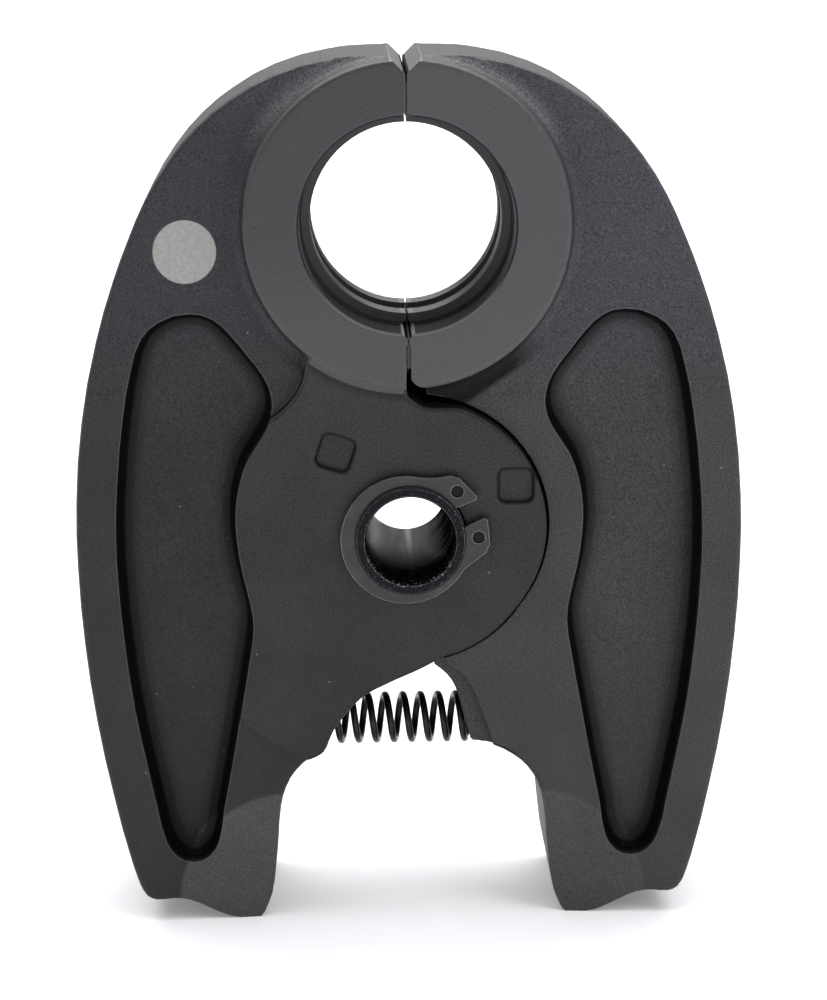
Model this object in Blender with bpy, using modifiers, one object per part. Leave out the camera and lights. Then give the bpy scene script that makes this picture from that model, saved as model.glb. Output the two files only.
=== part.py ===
# Press fitting tool jaw: two forged arms lapped on a hollow pivot bush, with a press ring
# at the top, roller tails at the bottom and a compression spring between the arms.
# Metres, +Z up. The front of the jaw faces -Y. The floor is z = 0 and the pivot is on x = y = 0.
import math

import bmesh
import bpy

MM = 0.001

# Heights and widths, seen from the front
PIVOT_HEIGHT = 66.2 * MM       # pivot axis above the two feet
RING_RISE = 50.9 * MM          # press ring axis above the pivot axis
HALF_WIDTH = 54.3 * MM         # pivot axis to the widest point of an arm

# Half thicknesses, measured from the middle plane y = 0
FLANK_HALF = 14.6 * MM
TOP_HALF = 11.0 * MM           # the flank thins to this at the crown of the ring
TAPER_START = 22.0 * MM        # height above the pivot where it starts to thin
EAR_HALF = 16.5 * MM
RING_HALF = 17.0 * MM
LEDGE_HALF = 12.8 * MM
POCKET_FLOOR = 9.0 * MM
LAP_GAP = 0.3 * MM             # between the two arms where they lap
EDGE_ROUND = 0.8 * MM          # forged edge of the flank
EAR_ROUND = 0.8 * MM
POCKET_FILLET = 4.2 * MM

# Press ring
RING_RADIUS = 26.25 * MM
RING_EDGE = 0.8 * MM
RING_FILLET = 2.0 * MM         # hollow between the ring's wall and the flank
BORE_ENTRY_RADIUS = 17.25 * MM
BORE_RIDGE_RADIUS = 15.5 * MM
BORE_GROOVE_RADIUS = 16.3 * MM
RIDGE_OUTER_Y = 7.2 * MM       # ridges lie between these two distances from the middle plane
RIDGE_INNER_Y = 2.5 * MM
SPLIT_GAP = 0.3 * MM
SPLIT_TOP_CHAMFER = 2.4 * MM
SPLIT_BORE_CHAMFER = 0.9 * MM
SPLIT_HEEL_GAP = 0.8 * MM      # the split opens to this below the bore
SPLIT_HEEL_DROP = 19.0 * MM    # ring axis down to where it opens
SPLIT_HEEL_LENGTH = 8.0 * MM
RING_CORNER = 2.7 * MM         # rounding of each ring half's lower corner at the split

# Hub
EAR_RADIUS = 21.2 * MM
EAR_SHIFT_X = 1.1 * MM         # the ear is turned off centre, so its gap grows as the jaw opens
EAR_SHIFT_Z = 1.6 * MM
EAR_TOE_RADIUS = 21.15 * MM    # below, the ear's edge runs at this distance from the pivot
EAR_CLEARANCE = 0.45 * MM
BUSH_RADIUS = 9.0 * MM
BUSH_BORE_RADIUS = 7.25 * MM
BUSH_FIT = 0.3 * MM
BUSH_CHAMFER = 0.5 * MM
CLIP_THICKNESS = 1.2 * MM
CLIP_PLAY = 0.3 * MM           # round a retaining ring, to the ear and in its groove
CLIP_GROOVE_DEPTH = 0.6 * MM
BUSH_LIP = 0.5 * MM            # bush end beyond the retaining ring groove
CLIP_OUTER_RADIUS = 10.7 * MM
CLIP_SHIFT = 0.7 * MM          # outer circle of the ring off the bush axis
CLIP_LUG_RADIUS = 13.0 * MM
CLIP_HOLE_RADIUS = 1.05 * MM
CLIP_HOLE_REACH = 11.05 * MM
CLIP_GAP_ANGLE = 24.0          # degrees, middle of the gap between the lugs
CLIP_HOLE_ANGLE = 22.3

# Swing of one arm against the other
SWING_LIMIT = math.radians(25.0)
SHOULDER_OUTER_RADIUS = 26.9 * MM
SHOULDER_CLEARANCE = 0.3 * MM

# Spring and its two seats
SPRING_DROP = 35.7 * MM        # spring axis below the pivot axis
SPRING_COIL_RADIUS = 3.8 * MM
SPRING_WIRE_RADIUS = 0.48 * MM
SPRING_PITCH = 3.0 * MM
SPRING_PHASE = 2.05             # turns the coils so that one crown is 5 mm right of the middle
SEAT_REACH = 22.5 * MM         # pivot plane to the end of a seat
SEAT_CLEARANCE = 0.35 * MM

# Shallow dish on the roller track of each tail
DISH_RADIUS = 19.3 * MM
DISH_X = 20.0 * MM
DISH_RISE = 3.2 * MM           # dish centre above the foot
DISH_DEPTH = 1.8 * MM

# Two shallow square recesses in the ear's face, left by the holding fixture
RECESS_SIZE = 5.7 * MM
RECESS_CORNER = 1.3 * MM
RECESS_DEPTH = 0.8 * MM
RECESS_SLOPE = 0.6 * MM        # its walls lean out by this much

OUTSIDE = 8.0 * MM             # how far a cutter stands out of the metal
RING_STEPS = 64                # facets round the press ring's wall
BORE_STEPS = 67                # shares no facet edge with the wall, so the cut stays clean


def clear_scene():
    for old in list(bpy.data.objects):
        bpy.data.objects.remove(old, do_unlink=True)


def new_collection(name):
    group = bpy.data.collections.new(name)
    bpy.context.scene.collection.children.link(group)
    return group


def new_material(name, colour, metallic, roughness):
    material = bpy.data.materials.new(name)
    material.use_nodes = True
    shader = material.node_tree.nodes["Principled BSDF"]
    shader.inputs["Base Color"].default_value = (*colour, 1.0)
    shader.inputs["Metallic"].default_value = metallic
    shader.inputs["Roughness"].default_value = roughness
    return material


def as_tool(obj):
    """Marks an object as a construction solid, which is not part of the jaw."""
    obj.hide_render = True
    obj.display_type = 'WIRE'
    return obj


def mesh_from(source, name, group):
    """Turns a curve or a modified object into a plain welded mesh object."""
    bpy.context.view_layer.update()
    graph = bpy.context.evaluated_depsgraph_get()
    mesh = bpy.data.meshes.new_from_object(source.evaluated_get(graph))
    mesh.name = name
    mesh.transform(source.matrix_world)
    welder = bmesh.new()
    welder.from_mesh(mesh)
    bmesh.ops.remove_doubles(welder, verts=welder.verts, dist=0.005 * MM)
    bmesh.ops.recalc_face_normals(welder, faces=welder.faces)
    welder.to_mesh(mesh)
    welder.free()
    mesh.materials.clear()
    bpy.data.objects.remove(source, do_unlink=True)
    made = bpy.data.objects.new(name, mesh)
    group.objects.link(made)
    return made


def plate(name, outline, y_front, y_back, edge, group, steps=2, edge_steps=1):
    """Flat plate between two depths, from an outline of (x, z) or (x, z, 'corner') points."""
    curve = bpy.data.curves.new(name, 'CURVE')
    curve.dimensions = '2D'
    curve.fill_mode = 'BOTH'
    curve.resolution_u = steps
    curve.extrude = (y_back - y_front) / 2 - edge
    curve.bevel_depth = edge
    curve.offset = -edge
    curve.bevel_resolution = edge_steps
    spline = curve.splines.new('BEZIER')
    spline.use_cyclic_u = True
    spline.bezier_points.add(len(outline) - 1)
    for knot, place in zip(spline.bezier_points, outline):
        knot.co = (place[0], place[1], 0.0)
        kind = 'VECTOR' if len(place) == 3 else 'AUTO'
        knot.handle_left_type = kind
        knot.handle_right_type = kind
    drawn = bpy.data.objects.new(name, curve)
    group.objects.link(drawn)
    drawn.rotation_euler = (math.pi / 2, 0.0, 0.0)
    drawn.location = (0.0, (y_front + y_back) / 2, 0.0)
    return mesh_from(drawn, name, group)


def turned(name, profile, x, z, group, steps=RING_STEPS):
    """Solid turned round an axis along Y through (x, z), from (radius, y) points."""
    mesh = bpy.data.meshes.new(name)
    verts = [(radius, 0.0, -y) for radius, y in profile]
    edges = [(i, i + 1) for i in range(len(profile) - 1)]
    mesh.from_pydata(verts, edges, [])
    lathe = bpy.data.objects.new(name, mesh)
    group.objects.link(lathe)
    screw = lathe.modifiers.new("turn", 'SCREW')
    screw.axis = 'Z'
    screw.steps = steps
    screw.render_steps = steps
    screw.use_merge_vertices = True
    screw.merge_threshold = 0.005 * MM
    lathe.rotation_euler = (math.pi / 2, 0.0, 0.0)
    lathe.location = (x, 0.0, z)
    return mesh_from(lathe, name, group)


def block(name, size, centre, group, turn=0.0):
    """Box given by its size and centre, turned about Y."""
    builder = bmesh.new()
    bmesh.ops.create_cube(builder, size=1.0)
    bmesh.ops.scale(builder, vec=size, verts=builder.verts)
    mesh = bpy.data.meshes.new(name)
    builder.to_mesh(mesh)
    builder.free()
    box = bpy.data.objects.new(name, mesh)
    group.objects.link(box)
    box.location = centre
    box.rotation_euler = (0.0, turn, 0.0)
    return box


def rod(name, radius, start, length, axis, group, steps=32):
    """Cylinder from a start point along X or Y."""
    builder = bmesh.new()
    bmesh.ops.create_cone(builder, cap_ends=True, segments=steps, radius1=radius,
                          radius2=radius, depth=length)
    mesh = bpy.data.meshes.new(name)
    builder.to_mesh(mesh)
    builder.free()
    pin = bpy.data.objects.new(name, mesh)
    group.objects.link(pin)
    if axis == 'X':
        pin.rotation_euler = (0.0, math.pi / 2, 0.0)
        pin.location = (start[0] + length / 2, start[1], start[2])
    else:
        pin.rotation_euler = (math.pi / 2, 0.0, 0.0)
        pin.location = (start[0], start[1] + length / 2, start[2])
    return pin


def combine(body, tool, operation):
    """Adds a Boolean step to the body; the tool stays as a construction solid."""
    as_tool(tool)
    step = body.modifiers.new(tool.name, 'BOOLEAN')
    step.operation = operation
    step.solver = 'EXACT'
    step.object = tool


def cut(body, tool):
    combine(body, tool, 'DIFFERENCE')


def join(body, tool):
    combine(body, tool, 'UNION')


def arc(x, z, radius, start, end, count):
    """Points on a circle, from one angle to another in degrees, ends included."""
    found = []
    for i in range(count + 1):
        angle = math.radians(start + (end - start) * i / count)
        found.append((x + radius * math.cos(angle), z + radius * math.sin(angle)))
    return found


def at_side(inset, z):
    """Point set in from the widest point of the left arm."""
    return (-(HALF_WIDTH - inset * MM), z * MM)


def at_ring(x, rise):
    """Point of the left arm given from the press ring axis."""
    return (x * MM, RING_RISE + rise * MM)


def at_hub(x, z):
    """Point of the left arm given from the pivot axis."""
    return (x * MM, z * MM)


def at_leg(share, up):
    """Point of the left leg: its share of the half width, and its height above the sole."""
    return (-share * HALF_WIDTH, -PIVOT_HEIGHT + up * MM)


def corner(place):
    return (place[0], place[1], 'corner')


def ear_reach(angle):
    """Distance from the pivot to the ear's edge, in a direction given in degrees."""
    turn = math.radians(angle)
    along = EAR_SHIFT_X * math.cos(turn) + EAR_SHIFT_Z * math.sin(turn)
    shift_squared = EAR_SHIFT_X ** 2 + EAR_SHIFT_Z ** 2
    circle = along + math.sqrt(EAR_RADIUS ** 2 - shift_squared + along ** 2)
    if angle < 0.0:
        return max(circle, EAR_TOE_RADIUS)
    return circle


def polar(radius, angle):
    """Point at a distance from the pivot axis, in a direction given in degrees."""
    turn = math.radians(angle)
    return (radius * math.cos(turn), radius * math.sin(turn))


def flank_outline():
    """Left arm seen from the front, without its ear and lobe."""
    split = -SPLIT_GAP / 2
    top = RING_RISE + RING_RADIUS + 0.05 * MM
    return [
        corner((split, top)),
        at_ring(-6.0, 26.35), at_ring(-12.0, 25.9), at_ring(-20.9, 23.5),
        at_side(26.4, 70.6), at_side(21.2, 66.5), at_side(16.5, 61.1),
        at_side(12.6, 54.8), at_side(9.7, 48.4), at_side(7.2, 42.0), at_side(4.2, 32.3),
        at_side(1.5, 19.2), at_side(0.2, 5.9), at_side(0.1, -5.0), at_side(0.8, -18.0),
        at_side(2.3, -31.0), at_side(4.6, -44.0),
        at_leg(0.864, 10.0), corner(at_leg(0.842, 6.2)), at_leg(0.821, 4.2),
        at_leg(0.792, 3.5), at_leg(0.742, 3.7), at_leg(0.692, 3.4), at_leg(0.637, 2.1),
        at_leg(0.582, 0.7), corner(at_leg(0.535, 0.0)), corner(at_leg(0.472, 0.0)),
        corner(at_leg(0.459, 0.9)), at_leg(0.436, 4.0), at_leg(0.422, 9.0),
        at_leg(0.412, 14.5), at_leg(0.403, 19.7), at_leg(0.385, 23.2), at_leg(0.354, 26.0),
        at_leg(0.308, 28.2), at_hub(-13.6, -36.4), at_hub(-11.4, -35.9),
        corner(at_hub(-10.2, -35.8)), corner(at_hub(-9.8, -35.4)),
        at_hub(-8.5, -30.7), at_hub(-7.3, -26.4), at_hub(-5.9, -24.2),
        corner(at_hub(-3.9, -22.5)),
        corner(at_hub(-3.0, -18.0)), corner(at_hub(-3.0, 20.0)), corner((split, 24.6 * MM)),
    ]


def ear_outline():
    """Raised plate on the front of the left arm: lobe, hub and ear."""
    start = 68.0
    end = -77.5
    rim = []
    for i in range(19):
        angle = start + (end - start) * i / 18
        rim.append(polar(ear_reach(angle), angle))
    rim[0] = corner(rim[0])
    split = -SPLIT_GAP / 2
    return rim + [
        at_hub(3.4, -21.45), at_hub(0.6, -22.85), at_hub(-6.0, -25.85), at_hub(-8.4, -27.4),
        at_hub(-11.1, -30.3), at_hub(-12.9, -32.8), at_hub(-13.7, -34.6),
        at_hub(-14.6, -36.5), at_hub(-16.2, -37.5), at_hub(-17.8, -37.9), at_hub(-19.4, -37.3),
        at_hub(-23.6, -34.6), at_hub(-26.9, -32.2), at_hub(-28.3, -30.4), at_hub(-28.5, -28.4),
        corner(at_hub(-28.6, -24.0)), corner(at_hub(-29.8, -14.0)), corner(at_hub(-29.8, 14.0)),
        corner(at_hub(-23.6, 19.4)), at_hub(-21.4, 20.8), at_hub(-18.9, 23.2),
        at_hub(-17.3, 26.0), corner(at_ring(-16.4, -20.4)), corner(at_ring(-10.0, -20.5)),
        corner((split, RING_RISE - 21.0 * MM)), corner((split, 23.7 * MM)),
        corner(at_hub(0.7, 22.9)), at_hub(2.3, 21.9), at_hub(5.0, 21.65), at_hub(7.6, 21.6),
    ]


def pocket_outline():
    """Long recess of the left arm, the same on both sides."""
    return [
        at_side(19.4, 36.8), at_side(14.4, 35.5), at_side(11.5, 32.8), at_side(9.8, 28.0),
        at_side(8.2, 19.8), at_side(7.0, 9.2), at_side(6.5, 0.5), at_side(6.7, -8.5),
        at_side(7.4, -18.0), at_side(8.7, -29.0), at_side(10.3, -38.0), at_side(11.9, -46.2),
        at_leg(0.755, 13.9), at_leg(0.724, 11.4), at_leg(0.674, 10.3), at_leg(0.626, 11.2),
        at_leg(0.595, 13.9), at_leg(0.578, 19.2),
        at_leg(0.547, 27.8), at_hub(-28.1, -29.5), at_hub(-26.4, -20.0), at_hub(-25.7, -14.6),
        at_hub(-26.1, -11.0), at_hub(-27.3, -5.6), at_hub(-28.1, 0.0), at_hub(-28.2, 4.8),
        at_hub(-27.5, 9.2), at_hub(-26.1, 13.2), at_hub(-23.8, 16.8), at_hub(-22.3, 19.9),
        at_hub(-22.1, 23.2), at_side(31.0, 26.5), at_side(28.5, 29.9), at_side(25.7, 33.4),
        at_side(22.9, 35.9),
    ]


def back_lap_outline():
    """Room in the back half of the left arm for the ear and shoulder of the other arm."""
    bulge = 55.0
    reach = ear_reach(bulge) + EAR_CLEARANCE
    found = [corner((30.0 * MM, reach)), corner((0.0, reach))]
    found += arc(0.0, 0.0, reach, 94.0, 180.0 - bulge, 5)
    for i in range(1, 16):
        angle = bulge + (-78.0 - bulge) * i / 15
        found.append(polar(ear_reach(angle) + EAR_CLEARANCE, 180.0 - angle))
    found[-1] = corner(found[-1])
    low = -PIVOT_HEIGHT / 2
    found += [corner((-2.0 * MM, -EAR_TOE_RADIUS - 2.0 * MM)), corner((-2.0 * MM, low)),
              corner((30.0 * MM, low))]
    return found


def front_lap_outline():
    """Metal taken off the front half of the left arm beyond its own lobe."""
    return [
        corner(at_hub(-15.6, -36.0)), corner(at_hub(-14.4, -34.0)), corner(at_hub(-12.4, -30.6)),
        corner(at_hub(-9.4, -27.4)), corner(at_hub(-5.0, -24.4)), corner(at_hub(0.0, -21.0)),
        corner(at_hub(6.0, -21.0)), corner(at_hub(6.0, -44.0)), corner(at_hub(-15.6, -44.0)),
    ]


def ledge_outline():
    """Area of the left arm's back face that is milled lower, beside the spring."""
    return [
        corner(at_hub(-5.2, -19.0)), at_hub(-5.8, -21.9), at_hub(-7.7, -23.2),
        at_hub(-9.3, -25.0), at_hub(-10.5, -27.3), at_hub(-11.8, -30.9), at_hub(-12.8, -33.8),
        corner(at_hub(-14.4, -39.0)), corner(at_hub(0.0, -39.0)), corner(at_hub(0.0, -19.0)),
    ]


def swing_slot_outline():
    """Ring sector behind the ear's lower edge, where the other arm's shoulder swings."""
    high = -70.0
    low = -80.5 - math.degrees(SWING_LIMIT) - 2.5
    near = EAR_TOE_RADIUS + EAR_CLEARANCE - SHOULDER_CLEARANCE
    inner = arc(0.0, 0.0, near, high, low, 8)
    outer = arc(0.0, 0.0, SHOULDER_OUTER_RADIUS, low, high, 8)
    for run in (inner, outer):
        run[0] = corner(run[0])
        run[-1] = corner(run[-1])
    return inner + outer


def thin_the_top(solid):
    """Leans both faces in above the pivot, so the arm gets thinner toward its crown."""
    slope = (FLANK_HALF - TOP_HALF) / (RING_RISE + RING_RADIUS - TAPER_START)
    shaper = bmesh.new()
    shaper.from_mesh(solid.data)
    everything = list(shaper.verts) + list(shaper.edges) + list(shaper.faces)
    bmesh.ops.bisect_plane(shaper, geom=everything, dist=0.001 * MM,
                           plane_co=(0.0, 0.0, TAPER_START), plane_no=(0.0, 0.0, 1.0))
    for vert in shaper.verts:
        if vert.co.z > TAPER_START:
            lean = slope * (vert.co.z - TAPER_START)
            vert.co.y -= math.copysign(lean, vert.co.y)
    shaper.to_mesh(solid.data)
    shaper.free()


def ring_hollow(label, way, tools):
    """Hollow fillet where the ring's wall meets the flank of the left arm."""
    root = FLANK_HALF - 0.6 * MM
    top = FLANK_HALF + RING_FILLET
    inner = RING_RADIUS - 2.0 * MM
    centre = RING_RADIUS + RING_FILLET
    profile = [(inner, root), (centre, root), (centre, FLANK_HALF)]
    for i in range(1, 5):
        angle = math.radians(90.0 * i / 4)
        profile.append((centre - RING_FILLET * math.sin(angle),
                        top - RING_FILLET * math.cos(angle)))
    profile += [(inner, top), (inner, root)]
    profile = [(radius, y * way) for radius, y in profile]
    hollow = turned("ring_hollow_" + label, profile, 0.0, RING_RISE, tools)
    thin_the_top(hollow)
    outline = plate("hollow_trim_" + label, flank_outline(), -RING_HALF - OUTSIDE,
                    RING_HALF + OUTSIDE, 0.0, tools)
    combine(hollow, outline, 'INTERSECT')
    return hollow


def build_arm_body(tools):
    """The left arm, modelled round the pivot axis as one forging with machined faces."""
    ring_z = RING_RISE
    lap = LAP_GAP / 2
    arm = plate("arm_flank", flank_outline(), -FLANK_HALF, FLANK_HALF, EDGE_ROUND, tools)
    thin_the_top(arm)
    as_tool(arm)
    cut(arm, plate("front_lap", front_lap_outline(), -FLANK_HALF - OUTSIDE, lap, 0.0, tools, 1))
    join(arm, plate("ear_plate", ear_outline(), -EAR_HALF, -lap, EAR_ROUND, tools))
    join(arm, ring_hollow("front", -1.0, tools))
    join(arm, ring_hollow("back", 1.0, tools))
    edge = RING_EDGE
    soft = 0.3 * RING_EDGE
    boss_profile = [
        (0.0, RING_HALF), (RING_RADIUS - edge, RING_HALF),
        (RING_RADIUS - soft, RING_HALF - soft), (RING_RADIUS, RING_HALF - edge),
        (RING_RADIUS, -RING_HALF + edge), (RING_RADIUS - soft, -RING_HALF + soft),
        (RING_RADIUS - edge, -RING_HALF), (0.0, -RING_HALF),
    ]
    boss = turned("ring_boss", boss_profile, 0.0, ring_z, tools)
    trim_size = (60.0 * MM, 60.0 * MM, 120.0 * MM)
    cut(boss, block("boss_trim", trim_size, (30.0 * MM - SPLIT_GAP / 2, 0.0, ring_z), tools))
    join(arm, boss)
    cut(arm, plate("back_lap", back_lap_outline(), -lap, RING_HALF + OUTSIDE, 0.0, tools))
    return arm


def cut_ring(arm, tools):
    ring_z = RING_RISE
    fine = 0.35 * MM
    profile = [
        (0.0, RING_HALF + OUTSIDE), (BORE_ENTRY_RADIUS + fine, RING_HALF + OUTSIDE),
        (BORE_ENTRY_RADIUS + fine, RING_HALF), (BORE_ENTRY_RADIUS, RING_HALF - fine),
        (BORE_ENTRY_RADIUS, RIDGE_OUTER_Y + fine), (BORE_RIDGE_RADIUS, RIDGE_OUTER_Y),
        (BORE_RIDGE_RADIUS, RIDGE_INNER_Y + fine), (BORE_GROOVE_RADIUS, RIDGE_INNER_Y),
    ]
    profile += [(radius, -y) for radius, y in reversed(profile)]
    cut(arm, turned("ring_bore", profile, 0.0, ring_z, tools, BORE_STEPS))
    # Without this the bore goes wrong when the ring is made thicker
    arm.modifiers["ring_bore"].use_self = True
    depth = 2 * (RING_HALF + OUTSIDE)
    top = ring_z + RING_RADIUS
    side = SPLIT_TOP_CHAMFER * math.sqrt(2.0)
    cut(arm, block("split_top", (side, depth, side), (0.0, 0.0, top), tools, math.pi / 4))
    nick = SPLIT_BORE_CHAMFER * math.sqrt(2.0)
    for label, way in (("upper", 1.0), ("lower", -1.0)):
        centre = (0.0, 0.0, ring_z + way * BORE_ENTRY_RADIUS)
        cut(arm, block("split_nick_" + label, (nick, depth, nick), centre, tools, math.pi / 4))
    heel_top = ring_z - SPLIT_HEEL_DROP
    heel_low = heel_top - SPLIT_HEEL_LENGTH
    heel = (SPLIT_HEEL_GAP, depth, heel_top - heel_low)
    heel_tool = block("split_heel", heel, (0.0, 0.0, (heel_top + heel_low) / 2), tools)
    return heel_tool


def cut_faces(arm, tools):
    lap = LAP_GAP / 2
    for label, way in (("front", -1.0), ("back", 1.0)):
        near = POCKET_FLOOR * way
        far = (RING_HALF + OUTSIDE) * way
        low = min(near, far)
        high = max(near, far)
        cut(arm, plate("pocket_" + label, pocket_outline(), low, high, POCKET_FILLET, tools, 2, 3))
    cut(arm, plate("ledge_step", ledge_outline(), LEDGE_HALF, RING_HALF, 0.0, tools))
    slot_front = -FLANK_HALF - SHOULDER_CLEARANCE
    cut(arm, plate("swing_slot", swing_slot_outline(), slot_front, lap, 0.0, tools, 1))
    dish_z = -PIVOT_HEIGHT + DISH_RISE
    for label, way in (("front", -1.0), ("back", 1.0)):
        reach = FLANK_HALF * way
        deep = reach - DISH_DEPTH * way
        rise = DISH_DEPTH / DISH_RADIUS
        wide = DISH_RADIUS + 3.0 * MM
        lifted = reach + 3.0 * MM * rise * way
        profile = [(0.0, deep), (wide, lifted), (wide, reach + OUTSIDE * way),
                   (0.0, reach + OUTSIDE * way)]
        cut(arm, turned("dish_" + label, profile, -DISH_X, dish_z, tools))


def rounded_square(x, z, turn):
    """Outline of one recess, turned by an angle in degrees."""
    half = RECESS_SIZE / 2 - RECESS_CORNER
    found = []
    for i in range(4):
        middle = math.radians(turn + 45.0 + 90.0 * i)
        corner_x = x + half * math.sqrt(2.0) * math.cos(middle)
        corner_z = z + half * math.sqrt(2.0) * math.sin(middle)
        first = turn + 90.0 * i
        found += arc(corner_x, corner_z, RECESS_CORNER, first, first + 90.0, 4)
    return [corner(place) for place in found]


def cut_recesses(arm, tools):
    floor = -EAR_HALF + RECESS_DEPTH
    front = -EAR_HALF - OUTSIDE
    for label, place, turn in (("left", at_hub(-11.9, 14.3), -18.0),
                               ("right", at_hub(17.2, 8.5), 0.0)):
        outline = rounded_square(place[0], place[1], turn)
        cut(arm, plate("recess_" + label, outline, front, floor, RECESS_SLOPE, tools, 1, 1))


def round_ring_corner(arm, tools):
    """Rounds the lower corner of the ring half where it meets the split."""
    edge_x = -SPLIT_GAP / 2
    centre_x = edge_x - RING_CORNER
    centre_z = RING_RISE - math.sqrt(RING_RADIUS ** 2 - centre_x ** 2) + RING_CORNER
    rounding = arc(centre_x, centre_z, RING_CORNER, -90.0, 0.0, 6)
    past = RING_RISE - RING_RADIUS - 3.0 * MM
    outline = rounding + [(2.0 * MM, centre_z), (2.0 * MM, past), (centre_x, past)]
    outline = [corner(place) for place in outline]
    back = RING_HALF + OUTSIDE
    cut(arm, plate("corner_back", outline, LAP_GAP / 2, back, 0.0, tools, 1))
    cut(arm, plate("corner_front", outline, -back, -EAR_HALF, 0.0, tools, 1))


def cut_hub(arm, tools):
    length = 2 * (EAR_HALF + OUTSIDE)
    start = (0.0, -length / 2, 0.0)
    cut(arm, rod("hub_bore", BUSH_RADIUS + BUSH_FIT, start, length, 'Y', tools, 48))
    seat = SPRING_COIL_RADIUS + SPRING_WIRE_RADIUS + SEAT_CLEARANCE
    seat_start = (-SEAT_REACH, 0.0, -SPRING_DROP)
    cut(arm, rod("spring_seat", seat, seat_start, SEAT_REACH, 'X', tools, 24))


def show_arms(body, parts, material):
    left = mesh_from(body, "left_arm", parts)
    mesh = left.data
    left.location = (0.0, 0.0, PIVOT_HEIGHT)
    mesh.materials.append(material)
    mesh.shade_smooth()
    mesh.set_sharp_from_angle(angle=math.radians(30.0))
    right = bpy.data.objects.new("right_arm", mesh)
    parts.objects.link(right)
    right.location = (0.0, 0.0, PIVOT_HEIGHT)
    right.rotation_euler = (0.0, 0.0, math.pi)


def make_bush(parts, tools, material):
    """Hollow pivot bush with a groove near each end for its retaining rings."""
    groove_in = EAR_HALF
    groove_out = EAR_HALF + 2 * CLIP_PLAY + CLIP_THICKNESS
    end = groove_out + BUSH_LIP
    floor = BUSH_RADIUS - CLIP_GROOVE_DEPTH
    half = [
        (BUSH_BORE_RADIUS + BUSH_CHAMFER / 2, end), (BUSH_RADIUS - BUSH_CHAMFER / 2, end),
        (BUSH_RADIUS, end - BUSH_CHAMFER / 2), (BUSH_RADIUS, groove_out),
        (floor, groove_out), (floor, groove_in), (BUSH_RADIUS, groove_in),
    ]
    profile = half + [(radius, -y) for radius, y in reversed(half)]
    profile += [(BUSH_BORE_RADIUS, -end + BUSH_CHAMFER), (BUSH_BORE_RADIUS, end - BUSH_CHAMFER)]
    profile.append(profile[0])
    bush = turned("pivot_bush", profile, 0.0, 0.0, parts, 64)
    finish(bush, material, 30.0)


def clip_outline():
    """Retaining ring for a shaft, thick opposite its gap, with two eared ends."""
    lug = [(9.9, -3.5), (7.3, -0.5), (9.5, 0.0), (27.9, 0.0), (34.5, -0.5), (44.0, -1.9)]
    inner = BUSH_RADIUS - CLIP_GROOVE_DEPTH + CLIP_PLAY
    upper = [polar(CLIP_LUG_RADIUS + drop * MM, CLIP_GAP_ANGLE + turn) for turn, drop in lug]
    lower = [polar(CLIP_LUG_RADIUS + drop * MM, CLIP_GAP_ANGLE - turn) for turn, drop in lug]
    inside = arc(0.0, 0.0, inner, CLIP_GAP_ANGLE + 12.0, CLIP_GAP_ANGLE + 348.0, 28)
    outside = arc(-CLIP_SHIFT, 0.0, CLIP_OUTER_RADIUS, CLIP_GAP_ANGLE + 308.0,
                  CLIP_GAP_ANGLE + 52.0, 22)
    upper.reverse()
    outline = inside + lower + outside + upper
    return [corner(place) for place in outline]


def make_clips(parts, tools, material):
    near = EAR_HALF + CLIP_PLAY
    front = plate("front_retaining_ring", clip_outline(), -near - CLIP_THICKNESS, -near,
                  0.12 * MM, parts, 1, 0)
    for label, side in (("upper", 1.0), ("lower", -1.0)):
        x, z = polar(CLIP_HOLE_REACH, CLIP_GAP_ANGLE + side * CLIP_HOLE_ANGLE)
        start = (x, -near - 2 * CLIP_THICKNESS, z)
        cut(front, rod("lug_hole_" + label, CLIP_HOLE_RADIUS, start, 3 * CLIP_THICKNESS, 'Y',
                       tools, 20))
    front = mesh_from(front, "front_retaining_ring", parts)
    finish(front, material, 30.0)
    back = bpy.data.objects.new("back_retaining_ring", front.data)
    parts.objects.link(back)
    back.location = (0.0, 0.0, PIVOT_HEIGHT)
    back.rotation_euler = (0.0, 0.0, math.pi)


def make_spring(parts, material):
    """Compression spring between the arms, its ends just off the bottoms of the seats."""
    half = SEAT_REACH - SPRING_WIRE_RADIUS - CLIP_PLAY
    turns = 2 * half / SPRING_PITCH
    per_turn = 12
    count = int(turns * per_turn) + 1
    curve = bpy.data.curves.new("spring", 'CURVE')
    curve.dimensions = '3D'
    curve.bevel_depth = SPRING_WIRE_RADIUS
    curve.bevel_resolution = 2
    curve.use_fill_caps = True
    spline = curve.splines.new('POLY')
    spline.points.add(count - 1)
    for i in range(count):
        x = -half + 2 * half * i / (count - 1)
        angle = 2 * math.pi * (x / SPRING_PITCH) + SPRING_PHASE
        y = -SPRING_COIL_RADIUS * math.sin(angle)
        z = SPRING_COIL_RADIUS * math.cos(angle) - SPRING_DROP
        spline.points[i].co = (x, y, z, 1.0)
    drawn = bpy.data.objects.new("spring", curve)
    parts.objects.link(drawn)
    spring = mesh_from(drawn, "spring", parts)
    finish(spring, material, 50.0)


def finish(solid, material, sharp):
    """Gives a piece its material and shading and lifts it to the pivot's height."""
    mesh = solid.data
    mesh.materials.append(material)
    mesh.shade_smooth()
    mesh.set_sharp_from_angle(angle=math.radians(sharp))
    solid.location = (0.0, 0.0, PIVOT_HEIGHT)


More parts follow.
